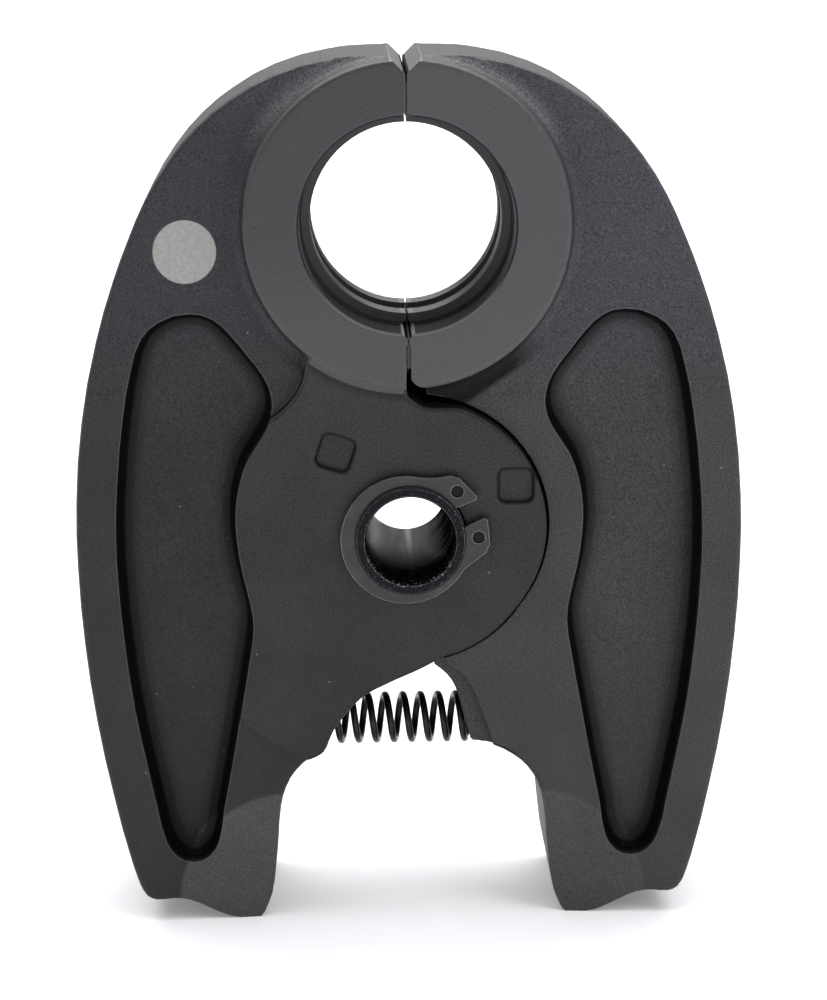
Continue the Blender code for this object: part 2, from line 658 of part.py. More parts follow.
def main():
    clear_scene()
    parts = new_collection("press_fitting_tool_jaw")
    tools = new_collection("construction_solids")
    forged = new_material("blasted_forged_steel", (0.05, 0.05, 0.055), 0.6, 0.6)
    black = new_material("blackened_steel", (0.02, 0.02, 0.022), 0.8, 0.35)
    clip_steel = new_material("phosphated_spring_steel", (0.06, 0.06, 0.06), 0.8, 0.4)
    arm = build_arm_body(tools)
    heel = cut_ring(arm, tools)
    cut(arm, heel)
    round_ring_corner(arm, tools)
    cut_faces(arm, tools)
    cut_recesses(arm, tools)
    cut_hub(arm, tools)
    show_arms(arm, parts, forged)
    make_bush(parts, tools, black)
    make_clips(parts, tools, clip_steel)
    make_spring(parts, black)


main()
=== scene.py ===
# Press fitting tool jaw: the looks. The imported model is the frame, and its forged arms, bush and
# retaining rings stay as they are. They get their finishes here, and the spring gets round wire.
# Metres, +Z up, and the front of the jaw faces -Y.
import math

import bpy
from mathutils import Matrix, Vector


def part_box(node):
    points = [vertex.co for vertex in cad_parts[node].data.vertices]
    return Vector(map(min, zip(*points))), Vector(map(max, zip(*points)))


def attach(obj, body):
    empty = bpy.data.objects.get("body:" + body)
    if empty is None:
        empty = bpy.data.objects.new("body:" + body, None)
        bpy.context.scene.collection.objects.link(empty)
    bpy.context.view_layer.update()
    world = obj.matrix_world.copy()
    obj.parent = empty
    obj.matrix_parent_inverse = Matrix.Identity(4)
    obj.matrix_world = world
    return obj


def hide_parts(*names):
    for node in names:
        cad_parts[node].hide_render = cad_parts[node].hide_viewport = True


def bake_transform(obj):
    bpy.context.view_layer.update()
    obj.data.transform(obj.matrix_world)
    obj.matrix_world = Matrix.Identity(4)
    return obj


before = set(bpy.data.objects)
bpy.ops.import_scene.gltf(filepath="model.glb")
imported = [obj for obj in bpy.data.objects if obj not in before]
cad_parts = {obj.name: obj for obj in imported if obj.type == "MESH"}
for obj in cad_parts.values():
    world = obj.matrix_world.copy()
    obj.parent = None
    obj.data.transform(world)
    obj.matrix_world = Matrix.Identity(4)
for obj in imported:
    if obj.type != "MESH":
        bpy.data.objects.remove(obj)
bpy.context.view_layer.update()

MM = 0.001

# Places on the jaw, in the row frame. Each face's Y is its distance from the middle plane
bush_low, bush_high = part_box("pivot_bush")
spring_low, spring_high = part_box("spring")
PIVOT_Z = (bush_low[2] + bush_high[2]) / 2
RING_Z = PIVOT_Z + 50.9 * MM
RING_WALL = 26.25 * MM         # radius of the press ring outside
RING_FACE_Y = 17.0 * MM
EAR_FACE_Y = 16.5 * MM
FLANK_FACE_Y = 14.6 * MM
LEDGE_FACE_Y = 12.8 * MM
POCKET_FLOOR_Y = 9.0 * MM
BORE_ENTRY = 17.25 * MM        # radius of the press ring's bore at its mouth
BUSH_BORE = 7.25 * MM
TRACK_X = 20.0 * MM            # middle of the roller track on each foot
TRACK_Z = 3.2 * MM
TRACK_RADIUS = 19.0 * MM
ARCH_HALF = 17.5 * MM          # the ledge beside the arch ends at this distance from the split
ARCH_LOW = -40.0 * MM          # and at this height from the pivot

# Square recesses in an ear, their middles from the pivot. The left one is turned a little
RECESS_HALF = 2.85 * MM
RECESS_CORNER = 1.3 * MM
LEFT_RECESS = (-11.9 * MM, 14.3 * MM)
LEFT_RECESS_TURN = math.radians(-18)
RIGHT_RECESS = (17.2 * MM, 8.5 * MM)

# Bare round patch on the left flank
PATCH_X = -35.5 * MM
PATCH_RISE = 46.7 * MM         # above the pivot
PATCH_RADIUS = 5.05 * MM

# Added pieces
WIRE_RADIUS = 0.6 * MM
COIL_GROWTH = 0.15 * MM        # the coil's radius beyond the CAD spring's
SPRING_PITCH = 3.0 * MM
SPRING_CROWN_X = 5.0 * MM      # highest point of one coil
LAND_DEPTH = 33.7 * MM         # just short of the ring's thickness
LAND_SEAM = 0.01 * MM          # middle of the split to a land
LUG_HOLE_REACH = 11.05 * MM    # pivot axis to the middle of a lug hole
LUG_HOLE_ANGLES = (("low", math.radians(1.7)), ("high", math.radians(46.3)))
# Dark discs of painted shade in the retaining rings' lug holes
HOLE_SHADE_RADIUS = 1.04 * MM
HOLE_SHADE_DEPTH = 0.5 * MM

# The photograph's camera, found from the ring, the bush and the split line
PHOTO_HEIGHT_PX = 1000
FOCAL_PX = 2853.65
CAMERA_FROM_PIVOT = (-10.86 * MM, -464.86 * MM, 115.40 * MM)
CAMERA_PITCH = math.radians(13.664)   # down
CAMERA_YAW = math.radians(1.462)      # towards +X
CAMERA_ROLL = math.radians(0.504)

# Tones that are used more than once, as sRGB hex values
# Painted shade: the next three tones darken creases, hollows and the deepest corners, where shade
# falls
CREASE_SHADE = "0C0C0D"
HOLLOW_SHADE = "0E0E10"
DEEP_SHADOW = "0A0A0B"
RUBBED = "8A8A8C"


def colour(code):
    """Linear colour from an sRGB hex value."""
    parts = [int(code[i:i + 2], 16) / 255 for i in (0, 2, 4)]
    linear = [p / 12.92 if p <= 0.04045 else ((p + 0.055) / 1.055) ** 2.4 for p in parts]
    return (*linear, 1.0)


def add_node(tree, kind, inputs=None, **settings):
    """Adds a node, with its settings and what goes into its sockets: values or other sockets."""
    node = tree.nodes.new(kind)
    for name, value in settings.items():
        setattr(node, name, value)
    for key, value in (inputs or {}).items():
        if isinstance(value, bpy.types.NodeSocket):
            tree.links.new(value, node.inputs[key])
        else:
            node.inputs[key].default_value = value
    return node


def new_material(name):
    material = bpy.data.materials.new(name)
    material.use_nodes = True
    tree = material.node_tree
    tree.nodes.clear()
    return material, tree


def compute(tree, operation, *values, **settings):
    """Result of a Math node."""
    return add_node(tree, "ShaderNodeMath", dict(enumerate(values)), operation=operation,
                    **settings).outputs[0]


def product(tree, first, *others):
    """Multiplies masks or values."""
    for other in others:
        first = compute(tree, 'MULTIPLY', first, other)
    return first


def larger(tree, first, second):
    """Joins two masks."""
    return compute(tree, 'MAXIMUM', first, second)


def ramp(tree, value, start, end, low=0.0, high=1.0):
    """Goes straight from low at start to high at end, and stays level beyond them."""
    return add_node(tree, "ShaderNodeMapRange",
                    {"Value": value, "From Min": start, "From Max": end, "To Min": low,
                     "To Max": high}).outputs["Result"]


def soft_step(tree, value, start, end):
    """0 before start and 1 after end, or the other way round where start is the larger."""
    step = add_node(tree, "ShaderNodeMapRange",
                    {"Value": value, "From Min": start, "From Max": end},
                    interpolation_type='SMOOTHSTEP', clamp=True)
    return step.outputs["Result"]


def mix_values(tree, factor, first, second):
    return add_node(tree, "ShaderNodeMix", {"Factor": factor, 2: first, 3: second},
                    data_type='FLOAT').outputs[0]


def blend(tree, factor, first, second):
    """Mixes two colours, each a socket or an sRGB hex value."""
    first, second = (colour(tone) if isinstance(tone, str) else tone for tone in (first, second))
    return add_node(tree, "ShaderNodeMix", {"Factor": factor, 6: first, 7: second},
                    data_type='RGBA').outputs[2]


def paint(tree, base, coats):
    """Lays coats over a base, one after another. Each is a mask and its colour."""
    for mask, tone in coats:
        base = blend(tree, mask, base, tone)
    return base


def noise(tree, place, size, detail, roughness=0.5):
    """Cloudy pattern with lumps of about the given size."""
    return add_node(tree, "ShaderNodeTexNoise",
                    {"Vector": place, "Scale": 1 / size, "Detail": detail,
                     "Roughness": roughness}).outputs["Fac"]


def dots(tree, place, spacing):
    """Distance to the nearest of many scattered dots, in shares of their spacing."""
    return add_node(tree, "ShaderNodeTexVoronoi",
                    {"Vector": place, "Scale": 1 / spacing}).outputs["Distance"]


def stretched(tree, place, scale):
    """Place for a pattern that is drawn out where the scale is small."""
    return add_node(tree, "ShaderNodeMapping", {"Vector": place, "Scale": scale}).outputs[0]


def object_place(tree):
    """Place on the object, and the same split into X, Y and Z."""
    place = add_node(tree, "ShaderNodeTexCoord").outputs["Object"]
    parts = add_node(tree, "ShaderNodeSeparateXYZ", {0: place})
    return place, [parts.outputs[axis] for axis in "XYZ"]


def distance_to(tree, x, z, centre):
    """Distance in the X-Z plane from a centre, which is given with a Y of 0."""
    flat = add_node(tree, "ShaderNodeCombineXYZ", {"X": x, "Z": z})
    away = add_node(tree, "ShaderNodeVectorMath", {0: flat.outputs[0], 1: centre},
                    operation='DISTANCE')
    return away.outputs["Value"]


def edge_wear(tree, radius):
    """1 on sharp edges, where the finish has rubbed off, and 0 elsewhere, with the normals of
    edges rounded by the radius."""
    rounded = add_node(tree, "ShaderNodeBevel", {"Radius": radius}, samples=6)
    flat = add_node(tree, "ShaderNodeNewGeometry")
    agree = add_node(tree, "ShaderNodeVectorMath",
                     {0: rounded.outputs["Normal"], 1: flat.outputs["Normal"]},
                     operation='DOT_PRODUCT')
    return soft_step(tree, agree.outputs["Value"], 0.985, 0.9), rounded.outputs["Normal"]


def add_surface(tree, inputs):
    shader = add_node(tree, "ShaderNodeBsdfPrincipled", inputs)
    add_node(tree, "ShaderNodeOutputMaterial", {"Surface": shader.outputs[0]})


class ArmAreas:
    """Where a point of an arm lies, and the arm's areas as masks: 1 inside and 0 outside. Depth is
    taken from the middle plane, side from the split, and up from the pivot."""

    def __init__(self, tree, way):
        """way is 1 for the left arm and -1 for the right one."""
        self.tree = tree
        self.way = way
        self.place, (self.x, self.y, self.z) = object_place(tree)
        self.depth = compute(tree, 'ABSOLUTE', self.y)
        self.side = compute(tree, 'ABSOLUTE', self.x)
        self.up = compute(tree, 'SUBTRACT', self.z, PIVOT_Z)
        self.up_ring = compute(tree, 'SUBTRACT', self.z, RING_Z)
        self.from_ring = distance_to(tree, self.x, self.z, (0.0, 0.0, RING_Z))
        normal = add_node(tree, "ShaderNodeNewGeometry").outputs["Normal"]
        normal = add_node(tree, "ShaderNodeSeparateXYZ", {0: normal}).outputs["Y"]
        self.facing = compute(tree, 'ABSOLUTE', normal)    # 1 to the front or the back
        self.across = self.step(self.facing, 0.6, 0.4)     # walls across the jaw's thickness
        self.mark_ring()
        self.mark_bore_and_split()
        self.mark_body()

    def step(self, measure, start, end):
        """A soft step in one of the measures."""
        return soft_step(self.tree, measure, start, end)

    def meet(self, *masks):
        """Where all the masks meet."""
        return product(self.tree, *masks)

    def mark_ring(self):
        """The press ring outside, and the painted shade and highlights along its wall."""
        tree = self.tree
        self.off_ring = self.step(self.from_ring, RING_WALL + 1.6 * MM, RING_WALL + 1.9 * MM)
        on_ear = self.step(self.depth, EAR_FACE_Y - 0.1 * MM, EAR_FACE_Y - 0.05 * MM)
        face = self.meet(self.step(self.from_ring, RING_WALL + 0.3 * MM, RING_WALL - 0.1 * MM),
                         self.step(self.depth, RING_FACE_Y - 0.4 * MM, RING_FACE_Y - 0.3 * MM))
        # On the ear plate the ring's tone goes a little past its edge, and past that a painted
        # shadow lies under the edge
        overlap = self.meet(self.step(self.from_ring, RING_WALL + 0.9 * MM, RING_WALL + 0.7 * MM),
                            self.step(self.up_ring, -19 * MM, -20 * MM), on_ear)
        self.ring_face = larger(tree, face, overlap)
        self.ring_foot_shadow = self.meet(
            self.step(self.from_ring, RING_WALL + 2.6 * MM, RING_WALL + 0.9 * MM),
            self.step(self.up_ring, -18.5 * MM, -20 * MM), on_ear)
        # Painted shade in the hollow outside the ring's wall, everywhere but at its top
        self.ring_wall_shade = self.meet(
            self.step(self.from_ring, RING_WALL + 1.5 * MM, RING_WALL + 0.1 * MM),
            self.step(self.up_ring, 25.5 * MM, 18 * MM))
        self.lower_ring = self.step(self.up_ring, 0.0, -20 * MM)
        off_face = self.meet(self.step(self.from_ring, RING_WALL, RING_WALL + 0.2 * MM),
                             self.step(self.depth, EAR_FACE_Y - 0.1 * MM, EAR_FACE_Y - 0.3 * MM))
        # Painted highlight: the fillet beside the upper ring is painted lighter, where light from
        # above falls on it
        self.fillet = self.meet(
            self.step(self.from_ring, RING_WALL + 3.5 * MM, RING_WALL + 1.0 * MM),
            self.step(self.up_ring, 9 * MM, 20 * MM), off_face)
        # The outer band above the ring's middle is painted lighter: partly a painted highlight from
        # the light above, partly lighter worn steel
        self.crown_wear_and_sheen = self.meet(self.step(self.from_ring, 25.7 * MM, 25.9 * MM), self.across,
                               self.step(self.up_ring, 2 * MM, 9 * MM))
        # Painted shade: a dark wedge under the ring beside the split
        slant = compute(tree, 'MULTIPLY_ADD', self.side, -0.68, self.up_ring)
        self.wedge = self.meet(soft_step(tree, slant, -36.2 * MM, -34.8 * MM),
                               self.step(self.up_ring, -12 * MM, -17 * MM), off_face,
                               self.step(self.side, 23 * MM, 16 * MM))

    def mark_bore_and_split(self):
        """The press ring's bore with its two ridges, and the faces where the arms meet, painted
        near black as shade.
        """
        self.in_bore = self.step(self.from_ring, BORE_ENTRY + 0.4 * MM, BORE_ENTRY + 0.3 * MM)
        entry_edge = self.meet(
            self.in_bore, self.step(self.depth, RING_FACE_Y - 0.5 * MM, RING_FACE_Y - 0.3 * MM),
            self.step(self.facing, 0.97, 0.93))
        # Painted highlight: a light line on the bore's chamfer, on its lower part only
        self.low_entry_highlight = self.meet(entry_edge, self.step(self.up_ring, -6 * MM, -15 * MM))
        self.ridge = self.step(self.from_ring, BORE_ENTRY - 0.1 * MM, BORE_ENTRY - 0.3 * MM)
        self.ridge_top = self.meet(self.ridge, self.across)
        # Painted shadow: a thin dark line at the foot of the front ridge
        self.ridge_foot_shadow = self.meet(
            self.in_bore, self.step(self.facing, 0.4, 0.6),
            self.step(self.from_ring, BORE_ENTRY - 0.45 * MM, BORE_ENTRY - 0.25 * MM),
            self.step(self.depth, 8.0 * MM, 7.7 * MM))
        self.low_bore = self.step(self.side, 13 * MM, 3 * MM)
        self.split_edge = self.meet(self.step(self.side, 1.2 * MM, 0.9 * MM), self.in_bore,
                                    self.across)
        self.split_top = self.meet(self.step(self.side, 2.7 * MM, 2.5 * MM), self.across,
                                   self.step(self.up_ring, 23 * MM, 23.4 * MM))
        # Painted shade: the faces along the split are near black, as in a closed split
        self.split_face_shade = self.meet(self.step(self.side, 0.5 * MM, 0.45 * MM), self.across)

    def mark_body(self):
        """Flank, ear, ledge and foot."""
        tree = self.tree
        self.upper = self.step(self.up_ring, -45 * MM, 5 * MM)
        self.crest = self.step(self.up_ring, 14 * MM, 26 * MM)
        # Painted shade on the pocket walls
        self.wall = self.meet(self.pocket_wall_shade(), self.off_ring)
        # Painted shade on the step from the flank up to the ear plate
        self.ear_step_shade = self.meet(
            self.step(self.depth, FLANK_FACE_Y + 0.05 * MM, FLANK_FACE_Y + 0.2 * MM),
            self.step(self.facing, 0.96, 0.85), self.off_ring)
        # Painted shade round the edges of the square recesses
        recesses = larger(tree, self.recess_edge(LEFT_RECESS, LEFT_RECESS_TURN),
                          self.recess_edge(RIGHT_RECESS, 0.0))
        self.recesses = self.meet(recesses, self.step(self.depth, 15.3 * MM, 15.5 * MM))
        # Painted shade on the step from the flank down to the ledge beside the arch
        beside_arch = self.step(self.side, ARCH_HALF, ARCH_HALF - 0.5 * MM)
        above_feet = self.step(self.up, ARCH_LOW, ARCH_LOW + 1 * MM)
        self.step_wall_shade = self.meet(
            self.step(self.depth, LEDGE_FACE_Y + 0.02 * MM, LEDGE_FACE_Y + 0.1 * MM),
            self.step(self.depth, FLANK_FACE_Y, FLANK_FACE_Y - 0.15 * MM),
            beside_arch, self.step(self.up, -16 * MM, -17 * MM), above_feet)
        # The feet are painted lighter round the roller tracks
        from_track = distance_to(tree, self.side, self.z, (TRACK_X, 0.0, TRACK_Z))
        self.track = soft_step(tree, from_track, TRACK_RADIUS + 0.4 * MM,
                               TRACK_RADIUS - 0.4 * MM)
        # Edges beside the arch and round the recesses get painted shade, the others are rubbed
        # light
        off_wall = self.step(self.from_ring, RING_WALL + 2 * MM, RING_WALL + 3 * MM)
        self.shaded_edges = larger(tree, self.meet(beside_arch, off_wall, above_feet), self.recesses)

    def pocket_wall_shade(self):
        """Painted shade on the steep walls and hollow corners of the two pockets of an arm."""
        tree = self.tree
        lift = compute(tree, 'ADD', self.up, 5 * MM)
        bend = compute(tree, 'MULTIPLY_ADD', product(tree, lift, lift), 3.0, self.side)
        inward = compute(tree, 'MULTIPLY_ADD', self.up, 0.2, self.side)
        zone = self.meet(soft_step(tree, bend, 50.7 * MM, 50.3 * MM),        # inside the rim
                         soft_step(tree, inward, 14.8 * MM, 15.2 * MM),      # outside the hub
                         self.step(self.up, -57.5 * MM, -57.0 * MM))         # above the foot
        flat = self.meet(self.step(self.facing, 0.8, 0.93),
                         self.step(self.depth, 10.0 * MM, 10.8 * MM))
        steep = compute(tree, 'SUBTRACT', 1.0, flat)
        # The painted shade fades out to the floor over the fillet's first facets, and out to the
        # rim
        first_facet = POCKET_FLOOR_Y + 0.32 * MM
        near = ramp(tree, self.depth, POCKET_FLOOR_Y, first_facet, high=0.35)
        far = ramp(tree, self.depth, first_facet, POCKET_FLOOR_Y + 1.8 * MM, high=0.65)
        rim = ramp(tree, self.depth, 12.4 * MM, FLANK_FACE_Y, low=1.0, high=0.3)
        deep = self.meet(compute(tree, 'ADD', near, far), rim)
        return self.meet(zone, steep, deep)

    def recess_edge(self, centre, turn):
        """The edge of a square recess in the ear, where shade is painted."""
        tree = self.tree
        across = compute(tree, 'MULTIPLY', self.x, self.way)
        flat = add_node(tree, "ShaderNodeCombineXYZ", {"X": across, "Y": self.up})
        local = add_node(tree, "ShaderNodeMapping",
                         {"Vector": flat.outputs[0], "Location": (*centre, 0.0),
                          "Rotation": (0.0, 0.0, turn)}, vector_type='TEXTURE')
        straight = RECESS_HALF - RECESS_CORNER
        away = add_node(tree, "ShaderNodeVectorMath", {0: local.outputs[0]},
                        operation='ABSOLUTE')
        away = add_node(tree, "ShaderNodeVectorMath",
                        {0: away.outputs[0], 1: (straight, straight, 0.0)},
                        operation='SUBTRACT')
        away = add_node(tree, "ShaderNodeVectorMath", {0: away.outputs[0], 1: (0.0, 0.0, 0.0)},
                        operation='MAXIMUM')
        away = add_node(tree, "ShaderNodeVectorMath", {0: away.outputs[0]}, operation='LENGTH')
        off_edge = compute(tree, 'SUBTRACT', away.outputs["Value"], RECESS_CORNER)
        return soft_step(tree, compute(tree, 'ABSOLUTE', off_edge), 0.42 * MM, 0.22 * MM)


def coated_forging(tree, area, coat, cool_coat, track_tone, turned, wedge_shade):
    """Phosphate coat with uneven patches, cooler at the top, with painted shade in the hollows and
    painted highlights by the ring, and the turned ring and the lighter roller tracks on the feet."""
    patches = noise(tree, area.place, 14 * MM, 4.0, 0.6)
    cloud = soft_step(tree, patches, 0.38, 0.62)
    return paint(tree, blend(tree, cloud, *coat), (
        (area.upper, cool_coat),
        (area.crest, "45454A"),
        (area.track, blend(tree, cloud, *track_tone)),
        # Painted shade and highlights from here down to the ring's foot
        (product(tree, area.ring_wall_shade, 0.15), HOLLOW_SHADE),
        (product(tree, area.fillet, 0.7), "6A6A6C"),
        (product(tree, area.wedge, wedge_shade), DEEP_SHADOW),
        (area.wall, "0B0B0D"),
        (product(tree, area.ear_step_shade, 0.75), HOLLOW_SHADE),
        (product(tree, area.recesses, 0.9), CREASE_SHADE),
        (product(tree, area.step_wall_shade, 0.85), CREASE_SHADE),
        (area.crown_wear_and_sheen, "585959"),
        (product(tree, area.ring_foot_shadow, 0.65), HOLLOW_SHADE),
        (area.ring_face, blend(tree, area.lower_ring, *turned)),
        (area.in_bore, "27252C"),
    ))


def grained(tree, area, base, grain):
    """Grain darkens and lightens the colour, less on the turned ring face, in the bore and lower
    down.
    """
    low = ramp(tree, area.up, -5 * MM, -40 * MM, high=0.65)
    smoother = larger(tree, larger(tree, area.ring_face, area.in_bore), low)
    swing = ramp(tree, smoother, 0.0, 1.0, low=0.7, high=0.25)
    centred = compute(tree, 'SUBTRACT', grain, 0.5)
    tone = compute(tree, 'MULTIPLY_ADD', product(tree, centred, swing), 4.0, 1.0)
    return add_node(tree, "ShaderNodeVectorMath", {0: base, "Scale": tone},
                    operation='SCALE').outputs["Vector"]


def machined(tree, area, base):
    """Bright steel of the ridges, bore edges and split, with fine turning lines, and painted light
    and shade in the bore and on the split.
    """
    lines = noise(tree, stretched(tree, area.place, (0.05, 1.0, 0.05)), 0.4 * MM, 1.0)
    bright = blend(tree, lines, "626260", "949492")
    return paint(tree, base, (
        (area.ridge, "3A3A3B"),
        # Painted highlight and shade: the ridge tops are bright near the split and dark towards the
        # sides
        (area.ridge_top, blend(tree, area.low_bore, "2A2A2C", bright)),
        (product(tree, area.ridge_foot_shadow, 0.9), DEEP_SHADOW),
        (product(tree, area.low_entry_highlight, 0.5), "8A8A88"),
        (area.split_top, bright),
        (area.split_face_shade, "060606"),
        (area.split_edge, "B0B0AE"),
    ))


def bare_patch(tree, area, base):
    """Round bare patch on the left flank."""
    away = distance_to(tree, area.x, area.z, (PATCH_X, 0.0, PIVOT_Z + PATCH_RISE))
    inside = soft_step(tree, away, PATCH_RADIUS + 0.1 * MM, PATCH_RADIUS - 0.1 * MM)
    front = soft_step(tree, area.y, -8.0 * MM, -9.0 * MM)
    mottle = noise(tree, area.place, 0.6 * MM, 2.0)
    return blend(tree, product(tree, inside, front), base,
                 blend(tree, mottle, "85847F", "A8AAA8"))


def forged_steel(name, way, coat, cool_coat, track_tone, turned, wedge_shade, patched):
    """Drop-forged tool steel, shot blasted and phosphated: dead matte, dark grey with a little blue
    at the top, with the blasting's fine grain, pits and specks, painted shade in the hollows,
    painted light and shade by the ring and in its bore, lighter where the press ring is turned and
    on the feet's roller tracks, and bright on the bore's ridges."""
    material, tree = new_material(name)
    area = ArmAreas(tree, way)
    grain = noise(tree, area.place, 0.27 * MM, 1.5, 0.6)
    base = coated_forging(tree, area, coat, cool_coat, track_tone, turned, wedge_shade)
    base = grained(tree, area, base, grain)
    base = machined(tree, area, base)
    if patched:
        base = bare_patch(tree, area, base)

    # Light specks of bare metal, a few in each square centimetre, and worn edges, with painted
    # shade on the edges beside the arch and round the recesses
    specks = soft_step(tree, dots(tree, area.place, 6 * MM), 0.035, 0.015)
    wear, rounded = edge_wear(tree, 0.35 * MM)
    base = paint(tree, base, (
        (product(tree, specks, 0.6), "8C8C8C"),
        (product(tree, wear, 0.4), blend(tree, area.shaded_edges, "7A7A7C", CREASE_SHADE)),
        (product(tree, wear, area.shaded_edges, 0.85), CREASE_SHADE),
    ))

    # Blasted grain, and round pits about 1 mm across
    grain_bump = add_node(tree, "ShaderNodeBump",
                          {"Height": grain, "Strength": 0.3, "Distance": 0.05 * MM,
                           "Normal": rounded})
    pits = soft_step(tree, dots(tree, area.place, 7 * MM), 0.03, 0.09)
    pit_bump = add_node(tree, "ShaderNodeBump",
                        {"Height": pits, "Strength": 0.6, "Distance": 0.12 * MM,
                         "Normal": grain_bump.outputs["Normal"]})

    # Hollows and the bore's mouths are dull, and the ridges shine
    entry = compute(tree, 'SUBTRACT', area.in_bore, area.ridge, use_clamp=True)
    shaded = larger(tree, entry, area.wedge)
    dull = larger(tree, larger(tree, area.wall, area.split_face_shade), shaded)
    polish = product(tree, area.ridge_top, area.low_bore)
    add_surface(tree, {"Base Color": base, "Metallic": mix_values(tree, shaded, 0.55, 0.1),
                       "Roughness": mix_values(tree, polish, 0.57, 0.25),
                       "Specular IOR Level": mix_values(tree, dull, 0.5, 0.1),
                       "Normal": pit_bump.outputs["Normal"]})
    return material


def ground_bush_steel():
    """Hardened bush, ground outside and blackened, with nicks on its end. The tool's pin has rubbed
    its bore, which is grey and shiny, with a painted reflection as a lighter stripe and painted
    shade, black, at the front and sides."""
    material, tree = new_material("ground_bush_steel")
    place, (x, y, z) = object_place(tree)
    away = distance_to(tree, x, z, (0.0, 0.0, PIVOT_Z))
    bore = soft_step(tree, away, BUSH_BORE + 0.3 * MM, BUSH_BORE + 0.1 * MM)
    streaks = noise(tree, stretched(tree, place, (1.0, 0.08, 1.0)), 1.4 * MM, 3.0)
    lines = noise(tree, stretched(tree, place, (0.04, 1.0, 0.04)), 0.6 * MM, 2.0)
    nicks = noise(tree, place, 0.35 * MM, 2.0)

    # The bore: rubbed streaks, a painted reflection as a stripe, and painted shade, black, at the
    # front mouth and the sides
    rubbed = product(tree, soft_step(tree, streaks, 0.4, 0.75), soft_step(tree, lines, 0.3, 0.62))
    off_middle = compute(tree, 'ABSOLUTE', compute(tree, 'SUBTRACT', x, 0.4 * MM))
    # Painted reflection: a lighter stripe along the bore's middle
    stripe = soft_step(tree, off_middle, 0.75 * MM, 0.1 * MM)
    # Painted shade: black at the front mouth and at both sides of the bore
    mouth = soft_step(tree, y, 12 * MM, -16 * MM)
    right_side = soft_step(tree, x, 1 * MM, 7 * MM)
    left_side = product(tree, soft_step(tree, x, -4.5 * MM, -7 * MM), 0.85)
    black = larger(tree, mouth, compute(tree, 'ADD', right_side, left_side))
    uneven = ramp(tree, lines, 0.3, 0.7, low=1.15, high=0.85)
    black = product(tree, compute(tree, 'MULTIPLY', black, uneven, use_clamp=True), bore)
    clean = compute(tree, 'POWER', compute(tree, 'SUBTRACT', 1.0, black), 3.0)
    polished = paint(tree, blend(tree, rubbed, "1C1C1D", "666665"), (
        (product(tree, stripe, 0.7), "8E908F"),
        (black, "050506"),
    ))

    # The end: nicks, chips on the bore's lower rim, and a worn outer edge
    depth = compute(tree, 'ABSOLUTE', y)
    chips = product(tree, soft_step(tree, away, BUSH_BORE + 0.5 * MM, BUSH_BORE + 0.35 * MM),
                    soft_step(tree, depth, 17.8 * MM, 18.2 * MM),
                    soft_step(tree, nicks, 0.6, 0.7),
                    soft_step(tree, z, PIVOT_Z, PIVOT_Z - 4 * MM))
    wear, rounded = edge_wear(tree, 0.2 * MM)
    base = paint(tree, blend(tree, bore, "121217", polished), (
        (product(tree, soft_step(tree, nicks, 0.62, 0.72), 0.25), RUBBED),
        (chips, "A8A8A6"),
        (product(tree, wear, ramp(tree, nicks, 0.4, 0.65, low=0.25)), RUBBED),
    ))
    add_surface(tree, {"Base Color": base, "Metallic": product(tree, clean, 0.7),
                       "Roughness": mix_values(tree, bore, 0.5, 0.38),
                       "Specular IOR Level": product(tree, clean, 0.3), "Normal": rounded})
    return material


def phosphated_spring_steel():
    """Stamped spring steel with a phosphate coat: dark grey and satin, bright on the cut edges."""
    material, tree = new_material("phosphated_spring_steel")
    place, _ = object_place(tree)
    grain = noise(tree, place, 0.4 * MM, 2.0)
    patches = soft_step(tree, noise(tree, place, 5 * MM, 2.0), 0.45, 0.65)
    wear, rounded = edge_wear(tree, 0.22 * MM)
    base = paint(tree, blend(tree, grain, "333332", "434342"), (
        (patches, "464341"),
        (product(tree, wear, 0.8), "A8A8AA"),
    ))
    add_surface(tree, {"Base Color": base, "Metallic": 0.9, "Roughness": 0.42,
                       "Normal": rounded})
    return material


def oiled_spring_wire():
    """Patented spring wire, blackened and oiled: near black, with narrow bright reflections and a
    brown tint."""
    material, tree = new_material("oiled_spring_wire")
    place, _ = object_place(tree)
    base = blend(tree, noise(tree, place, 2 * MM, 2.0), "1E1A17", "342A25")
    add_surface(tree, {"Base Color": base, "Metallic": 0.7, "Roughness": 0.33})
    return material


def dress(node, material):
    """Gives a CAD node its finish, and shading normals that keep its flat faces flat."""
    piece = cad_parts[node]
    piece.data.materials.clear()
    piece.data.materials.append(material)
    smooth = piece.modifiers.new("flat_faces_stay_flat", 'WEIGHTED_NORMAL')
    smooth.keep_sharp = True


